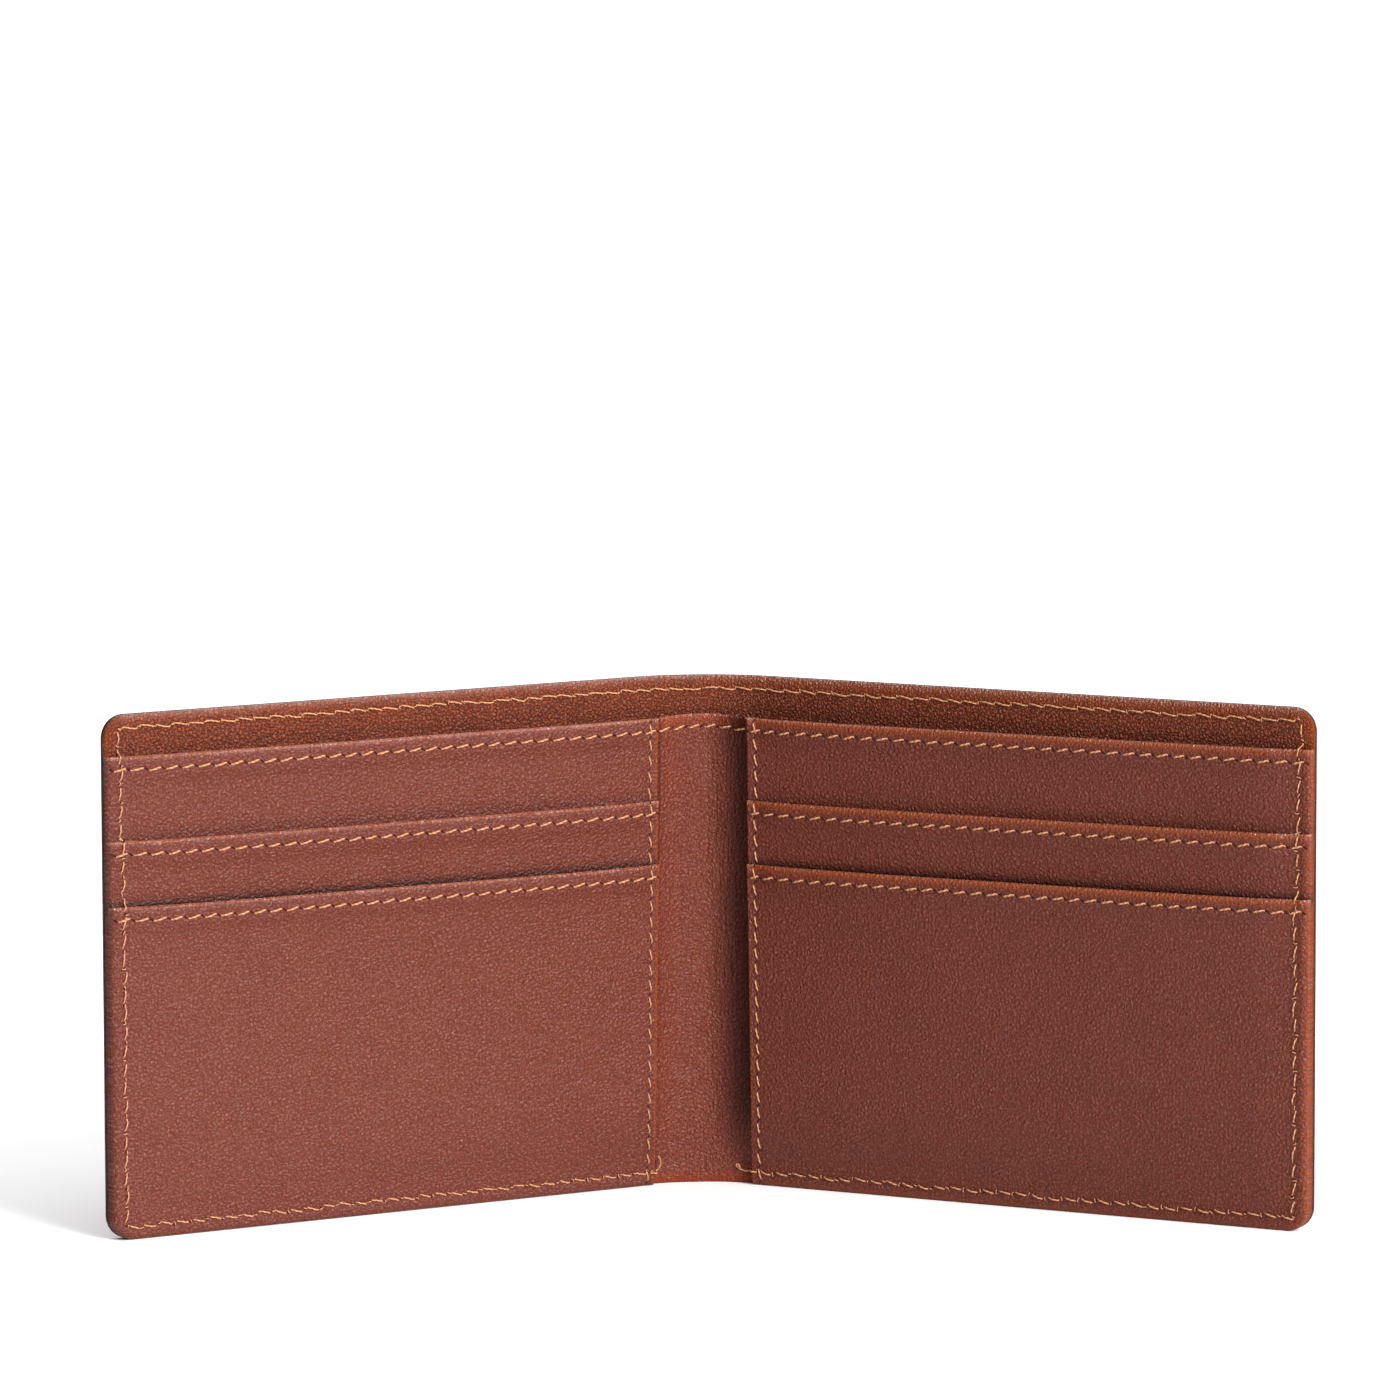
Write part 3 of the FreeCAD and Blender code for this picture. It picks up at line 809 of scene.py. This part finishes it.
def make_backing(side_name):
    """One side of the strip across the spine, and the backing that the pockets are sewn to."""
    side = SIDES[side_name]
    heights = (0.0, PANEL_TOP)
    hem_zone = [(SEAM, 0.8), (PANEL_TOP - HEM_SEAM, 2.0)]
    strip = sheet(
        f"spine_strip_{side_name}", side, ((CENTRE_RUN, STRIP_END), heights), strip_layer(side),
        SPINE_LEATHER, STRIP_ROUNDS, ([(CENTRE_RUN + 3.0, 6.0)], hem_zone), inner_leather=True,
        painted_shade=strip_painted_shade(side), wear=STRIP_WEAR,
    )
    attach(strip, side_name, "inner_backing", STRIP_BEND)
    backing = sheet(
        f"panel_backing_{side_name}", side, ((STRIP_END, END), heights), LAYERS["backing"], POCKET_LEATHER,
        BACKING_ROUNDS, ([(END - SEAM, 1.0)], hem_zone), corners=(True, False), inner_leather=True,
        wear=BACKING_WEAR_AND_LIGHT[side_name],
    )
    attach(backing, side_name, "inner_backing")


def make_pockets(side_name):
    """The three leather pockets of one side, and the fabric inside them."""
    side = SIDES[side_name]
    stack_seams = [(END - SEAM, 1.0), (INNER_SEAM, 1.0)]
    for key, box in (("upper", UPPER), ("middle", MIDDLE), ("front", FRONT)):
        pocket = sheet(
            f"{key}_pocket_{side_name}", side, ((STACK, END), (box.foot, box.top)), LAYERS[key],
            POCKET_LEATHER, POCKET_ROUNDS, (stack_seams, [(SEAM, 0.8), (box.top - HEM_SEAM, 2.0)]),
            corners=(box.foot < CORNER, False), inner_leather=True, wear=POCKET_WEAR_AND_LIGHT[side_name],
        )
        attach(pocket, side_name, f"{key}_pocket")
    fabric = sheet(
        f"slot_fabric_{side_name}", side, ((STACK + 0.4, END - 0.5), (FABRIC.foot, FABRIC.top)),
        LAYERS["fabric"], POCKET_FABRIC, FABRIC_ROUNDS, ([], []), inner_leather=True,
    )
    attach(fabric, side_name, "pocket_fabric")


# ---------------- surfaces that thread lies on
def outside_face(run, height):
    """Depth of the cover's outside."""
    return squeeze(run, LAYERS["cover"][0](run, height), height)


def lining_face(run, height):
    """Depth of the cover's lining."""
    return squeeze(run, LAYERS["lining"][1](run, height), height)


def fabric_face(run, height):
    """Depth of the slot's lining."""
    return LAYERS["fabric"][1](run, height)


def strip_face(side):
    """Depth of the strip across the spine, as a function of run and height."""
    front = strip_layer(side)[1]
    return lambda run, height: squeeze(run, front(run, height), height)


def top_face(run, height):
    """Depth of whichever layer shows at a place on the inside of a panel."""
    face = LAYERS["lining"][1](run, height)
    face = np.where(height <= PANEL_TOP, LAYERS["backing"][1](run, height), face)
    on_stack = run >= STACK - 0.05
    for name, top in (("upper", PANEL_TOP), ("middle", MIDDLE_TOP), ("front", FRONT_TOP)):
        face = np.where(on_stack & (height <= top), LAYERS[name][1](run, height), face)
    return squeeze(run, face, height)


# ---------------- thread
def spread(depth):
    """Depths along strands, eased over the pockets' steps so that a strand never cuts into a corner."""
    padded = np.pad(depth, ((0, 0), (2, 2)), mode="edge")
    count = depth.shape[1]
    highest = np.max([padded[:, shift:shift + count] for shift in range(5)], axis=0)
    padded = np.pad(highest, ((0, 0), (1, 1)), mode="edge")
    return np.mean([padded[:, shift:shift + count] for shift in range(3)], axis=0)


def strand_quads(number, rings):
    """Quads of strands: their walls and the caps at both ends."""
    index = np.arange(number * rings * RING).reshape(number, rings, RING)
    after = np.roll(index, -1, axis=2)
    walls = np.stack([index[:, :-1], after[:, :-1], after[:, 1:], index[:, 1:]], axis=-1).reshape(-1, 4)
    caps = []
    for end, order in ((0, 1), (-1, -1)):
        for corners in CAP_QUADS:
            caps.append(np.stack([index[:, end, corner] for corner in corners][::order], axis=-1))
    return np.concatenate([walls] + caps)


def strands(run, height, lift, width, thick, surface, out=1):
    """Strands on a surface, one for each row of the arrays: points in run, depth and height, quads and uv."""
    along_run, along_height = np.gradient(run, axis=1), np.gradient(height, axis=1)
    length = np.hypot(along_run, along_height) + 1e-9
    turn = 2 * math.pi * np.arange(RING) / RING
    wide = (width * np.ones_like(run))[..., None] * np.cos(turn)
    tall = (thick * np.ones_like(run))[..., None] * np.sin(turn)
    depth = out * (spread(out * surface(run, height)) + lift)
    points = np.stack([
        run[..., None] - (along_height / length)[..., None] * wide,
        depth[..., None] + out * tall,
        height[..., None] + (along_run / length)[..., None] * wide,
    ], axis=-1).reshape(-1, 3)
    travelled = np.cumsum(length, axis=1)
    uv = np.stack(np.broadcast_arrays(travelled[..., None], turn / (2 * math.pi)), axis=-1).reshape(-1, 2)
    return points, strand_quads(*run.shape), uv


def thread_object(name, side, groups, inner=False):
    """One object from groups of strands, each with its material: 0 for thread and 1 for the painted shade of
    a needle hole.
    """
    points, quads, uvs, kinds = [], [], [], []
    start = 0
    for (group_points, group_quads, group_uv), kind in groups:
        points.append(group_points)
        quads.append(group_quads + start)
        uvs.append(group_uv)
        kinds.append(np.full(len(group_quads), kind, np.int32))
        start += len(group_points)
    panel = np.concatenate(points)
    placed = place(side, panel[:, 0], panel[:, 1], panel[:, 2], inner)
    obj = mesh_object(name, placed, np.concatenate(quads), np.concatenate(uvs), [THREAD, NEEDLE_HOLE_SHADE])
    obj.data.polygons.foreach_set("material_index", np.concatenate(kinds))
    return obj


def stitch_row(row, across_at, upright, slant, surface, dice, out=1, half=THREAD_HALF, hole_shade=0.13):
    """A row of slanting stitches with a needle hole at each end, drawn as a dark spot of painted shade, as
    groups for thread_object.
    """
    numbers = np.arange(row["count"])[:, None]
    s = np.linspace(0, 1, 11)[None, :]
    jitter = np.array([[dice.uniform(-1, 1) for _ in range(4)] for _ in numbers])
    reach = 0.40 + 0.02 * jitter[:, :1]
    along = row["start"] + row["step"] * (numbers + 0.5 + 0.03 * jitter[:, 1:2] + (2 * s - 1) * reach)
    leading = slant * row["step"] * (-1 if upright else 1)
    hooked = np.where(leading * (2 * s - 1) > 0, 1.0, 0.35)
    bend = 1 - (0.55 + 0.5 * hooked) * smooth(np.abs(2 * s - 1), 0.7, 1.0)
    lean = slant * (0.29 + 0.06 * jitter[:, 2:3]) * (2 * s - 1) * bend
    across = across_at + lean + 0.05 * jitter[:, 3:4]
    rise = np.sin(math.pi * s) ** 0.5
    lift = -0.22 + 0.33 * rise + 0 * along
    width = half * (0.5 + 0.5 * rise) + 0 * along
    run, height = (across, along) if upright else (along, across)
    thread = strands(run, height, lift, width, width * 0.85, surface, out)
    holes = np.arange(row["count"] + 1)[:, None]
    s = np.linspace(-1, 1, 7)[None, :]
    along = row["start"] + row["step"] * holes + 0.38 * s
    across = across_at - slant * 0.26 * s + 0 * along
    run, height = (across, along) if upright else (along, across)
    swell = np.sqrt(1.02 - s**2) + 0 * along
    hole_shades = strands(run, height, 0.0 * along, hole_shade * swell, 0.05 * swell, surface, out)
    return [(thread, 0), (hole_shades, 1)]


def slack_path(corners, lean, dice):
    """A slack under-thread: length along it, run, height and share of the way from one hole to the next."""
    corners = np.array(corners, float)
    legs = np.diff(corners, axis=0)
    sizes = np.hypot(*legs.T)
    at = np.concatenate([[0], np.cumsum(sizes)])
    t = np.linspace(0, at[-1], int(at[-1] / 0.2))
    run, height = np.interp(t, at, corners[:, 0]), np.interp(t, at, corners[:, 1])
    leg = np.clip(np.searchsorted(at, t, side="right") - 1, 0, len(legs) - 1)
    normal = np.stack([-legs[leg, 1], legs[leg, 0]]) / sizes[leg]
    holes = int(at[-1] / PITCH) + 3
    offset = np.array([dice.uniform(-0.12, 0.12) for _ in range(holes)])
    bulge = np.array([dice.choice((-1, 1, 1)) * dice.uniform(0.03, 0.2) for _ in range(holes)])
    swing = np.array([lean * dice.uniform(0.3, 0.62) for _ in range(holes)])
    # the line starts in its first hole, so that the two sides' top threads meet at the spine
    offset[0] = 0.0
    swing[0] = 0.0
    cell = (t / PITCH).astype(int)
    share = t / PITCH - cell
    away = offset[cell] * (1 - share) + offset[cell + 1] * share + bulge[cell] * np.sin(math.pi * share)
    away = away + swing[cell] * (share - 0.5)
    run, height = (running_mean(values, 3) for values in (run + normal[0] * away, height + normal[1] * away))
    return t, run, height, share


def hole_tufts(t, run, height, dice, surface):
    """A tuft of thread and a dark spot of painted shade at each needle hole of a slack under-thread."""
    marks = np.arange(1, int(t[-1] / PITCH)) * PITCH
    near = [int(np.argmin(np.abs(t - mark))) for mark in marks]
    s = np.linspace(-1, 1, 9)[None, :]
    tilt = np.array([[dice.uniform(0.5, 1.4) * dice.choice((-1, 1, 1))] for _ in near])
    reach = np.array([[dice.uniform(0.22, 0.42)] for _ in near])
    hook = np.array([[dice.uniform(-0.25, 0.25)] for _ in near])
    tangent = np.stack([np.gradient(run), np.gradient(height)])
    tangent = tangent / (np.hypot(*tangent) + 1e-9)
    tangent = tangent[:, near][..., None]
    ahead = reach * s * np.cos(tilt) + hook * s**2
    aside = reach * s * np.sin(tilt)
    middle_run, middle_height = run[near][:, None], height[near][:, None]
    tuft_run = middle_run + tangent[0] * ahead - tangent[1] * aside
    tuft_height = middle_height + tangent[1] * ahead + tangent[0] * aside
    rise = np.sqrt(1.02 - s**2) + 0 * ahead
    tufts = strands(tuft_run, tuft_height, 0.22 * rise - 0.02, 0.10 * (0.5 + 0.5 * rise), 0.09, surface)
    hole_shade_run = middle_run + tangent[0] * 0.3 * s
    hole_shade_height = middle_height + tangent[1] * 0.3 * s
    hole_shades = strands(hole_shade_run, hole_shade_height, 0.0 * rise, 0.22 * rise, 0.045 * rise, surface)
    return [(tufts, 0), (hole_shades, 1)]


def looped_line(corners, lean, dice, surface, half=0.13, dip=0.3, gap=0.34):
    """A slack under-thread along a line with square corners, which dips into each needle hole."""
    t, run, height, share = slack_path(corners, lean, dice)
    sunk = bump(np.minimum(share, 1 - share) * PITCH, gap)
    lift = 0.13 + 0.08 * np.sin(math.pi * share) - dip * sunk
    line = strands(run[None], height[None], lift[None], np.full_like(t, half)[None], half * 0.9, surface)
    return [(line, 0)] + hole_tufts(t, run, height, dice, surface)


def tail(points, surface, half=0.14):
    """A short free end of thread through points of (run, height, lift)."""
    points = np.array(points) + (STACK, SEAM, 0.0)
    steps = np.arange(len(points))
    t = np.linspace(0, len(points) - 1, 8 * (len(points) - 1) + 1)
    run, height, lift = (running_mean(np.interp(t, steps, column), 7)[None] for column in points.T)
    return [(strands(run, height, lift, np.full_like(run, half), half, surface), 0)]


def make_cover_thread(side_name, dice):
    """The perimeter seam of one side: needle stitches outside, and slack under-thread inside."""
    side = SIDES[side_name]
    needle = stitch_row(SEAMS["top"], TOP - SEAM, False, side, outside_face, dice, out=-1)
    needle += stitch_row(SEAMS["side"], END - SEAM, True, side, outside_face, dice, out=-1)
    needle += stitch_row(SEAMS["bottom"], SEAM, False, side, outside_face, dice, out=-1)
    obj = thread_object(f"needle_thread_{side_name}", side, needle)
    attach(obj, side_name, "cover_needle_thread", COVER_BEND)

    corner = END - SEAM
    top_line = [(CENTRE_RUN, TOP - SEAM), (corner - 0.1, TOP - SEAM + 0.1)]
    groups = looped_line(top_line, -side, dice, lining_face)
    obj = thread_object(f"top_under_thread_{side_name}", side, groups)
    attach(obj, side_name, "cover_bobbin_thread", COVER_BEND)

    side_line = [(corner, TOP - SEAM), (corner, SEAM), (STACK + 0.5, SEAM)]
    groups = looped_line(side_line, -1.5 * side, dice, top_face, dip=0.5, gap=0.62)
    groups += tail(TAILS[side_name], top_face)
    obj = thread_object(f"side_under_thread_{side_name}", side, groups, inner=True)
    attach(obj, side_name, "cover_bobbin_thread")


def make_panel_thread(side_name, dice):
    """The pockets' inner seam, the hems of one side and the seam at the foot of its slot."""
    side = SIDES[side_name]
    inner = stitch_row(SEAMS["inner"], INNER_SEAM, True, -side, top_face, dice, half=0.16, hole_shade=0.1)
    obj = thread_object(f"inner_seam_thread_{side_name}", side, inner, inner=True)
    attach(obj, side_name, "inner_seam_thread")

    for node, top in (("top_hem", PANEL_TOP), ("middle_hem", MIDDLE_TOP), ("front_hem", FRONT_TOP)):
        row = stitch_row(SEAMS["hem"], top - HEM_SEAM, False, side, top_face, dice)
        obj = thread_object(f"{node}_stitches_{side_name}", side, row, inner=True)
        attach(obj, side_name, f"{node}_thread")

    row = stitch_row(SEAMS["strip"], PANEL_TOP - HEM_SEAM, False, -side, strip_face(side), dice)
    obj = thread_object(f"strip_hem_stitches_{side_name}", side, row, inner=True)
    attach(obj, side_name, "top_hem_thread", STRIP_BEND)

    row = stitch_row(SEAMS["slot"], FABRIC.foot + 0.8, False, side, fabric_face, dice)
    obj = thread_object(f"slot_base_stitches_{side_name}", side, row, inner=True)
    attach(obj, side_name, "slot_base_thread")


for side_name in SIDES:
    make_cover(side_name)
    make_backing(side_name)
    make_pockets(side_name)
    side_dice = random.Random(f"thread {side_name}")
    make_cover_thread(side_name, side_dice)
    make_panel_thread(side_name, side_dice)


# ---------------- camera, light and floor
def make_camera():
    """The camera: a long lens, from the front and a little above."""
    data = bpy.data.cameras.new("camera")
    data.lens = CAMERA_LENS
    data.sensor_width = 36.0
    data.clip_start = 0.05
    data.clip_end = 60.0
    camera = bpy.data.objects.new("camera", data)
    bpy.context.scene.collection.objects.link(camera)
    heading = Matrix.Rotation(math.radians(CAMERA_HEADING), 4, "Z")
    pitch = Matrix.Rotation(math.radians(90 - CAMERA_DOWN), 4, "X")
    roll = Matrix.Rotation(math.radians(CAMERA_ROLL), 4, "Z")
    camera.matrix_world = Matrix.Translation(CAMERA_PLACE) @ heading @ pitch @ roll
    bpy.context.scene.camera = camera


def make_world():
    """White light from all round, weakest from the left and below."""
    world = bpy.data.worlds.new("studio")
    bpy.context.scene.world = world
    world.use_nodes = True
    tree = world.node_tree
    background = tree.nodes["Background"]
    background.inputs["Color"].default_value = (1, 1, 1, 1)
    direction = tree.nodes.new("ShaderNodeTexCoord").outputs["Generated"]
    weigh = tree.nodes.new("ShaderNodeVectorMath")
    weigh.operation = "DOT_PRODUCT"
    weigh.inputs[1].default_value = WORLD_TOWARDS
    tree.links.new(direction, weigh.inputs[0])
    level = tree.nodes.new("ShaderNodeMapRange")
    ranges = {"From Min": WORLD_DARKEST, "From Max": WORLD_BRIGHTEST, "To Min": 0.0, "To Max": WORLD_LEVEL}
    for key, value in ranges.items():
        level.inputs[key].default_value = value
    tree.links.new(weigh.outputs["Value"], level.inputs["Value"])
    tree.links.new(level.outputs[0], background.inputs["Strength"])


def make_key_lamp():
    """A large soft lamp from the front right."""
    lamp_data = bpy.data.lights.new("key", "SUN")
    lamp_data.energy = KEY_LEVEL * math.pi
    lamp_data.angle = math.radians(KEY_SIZE)
    lamp = bpy.data.objects.new("key", lamp_data)
    bpy.context.scene.collection.objects.link(lamp)
    across, up = math.radians(KEY_ACROSS), math.radians(KEY_UP)
    towards = Vector((math.sin(across) * math.cos(up), -math.cos(across) * math.cos(up), math.sin(up)))
    lamp.rotation_mode = "QUATERNION"
    lamp.rotation_quaternion = towards.to_track_quat("Z", "Y")


def make_floor():
    """A plain white floor."""
    mesh = bpy.data.meshes.new("floor")
    corners = [(FLOOR_HALF * x, FLOOR_HALF * y, 0) for x, y in ((-1, -1), (1, -1), (1, 1), (-1, 1))]
    mesh.from_pydata(corners, [], [(0, 1, 2, 3)])
    floor = bpy.data.objects.new("floor", mesh)
    bpy.context.scene.collection.objects.link(floor)
    material = bpy.data.materials.new("floor")
    material.use_nodes = True
    shader = material.node_tree.nodes["Principled BSDF"]
    shader.inputs["Base Color"].default_value = (0.9, 0.9, 0.9, 1)
    shader.inputs["Roughness"].default_value = 0.9
    mesh.materials.append(material)


make_camera()
make_world()
make_key_lamp()
make_floor()
bpy.context.scene.view_settings.view_transform = "Standard"
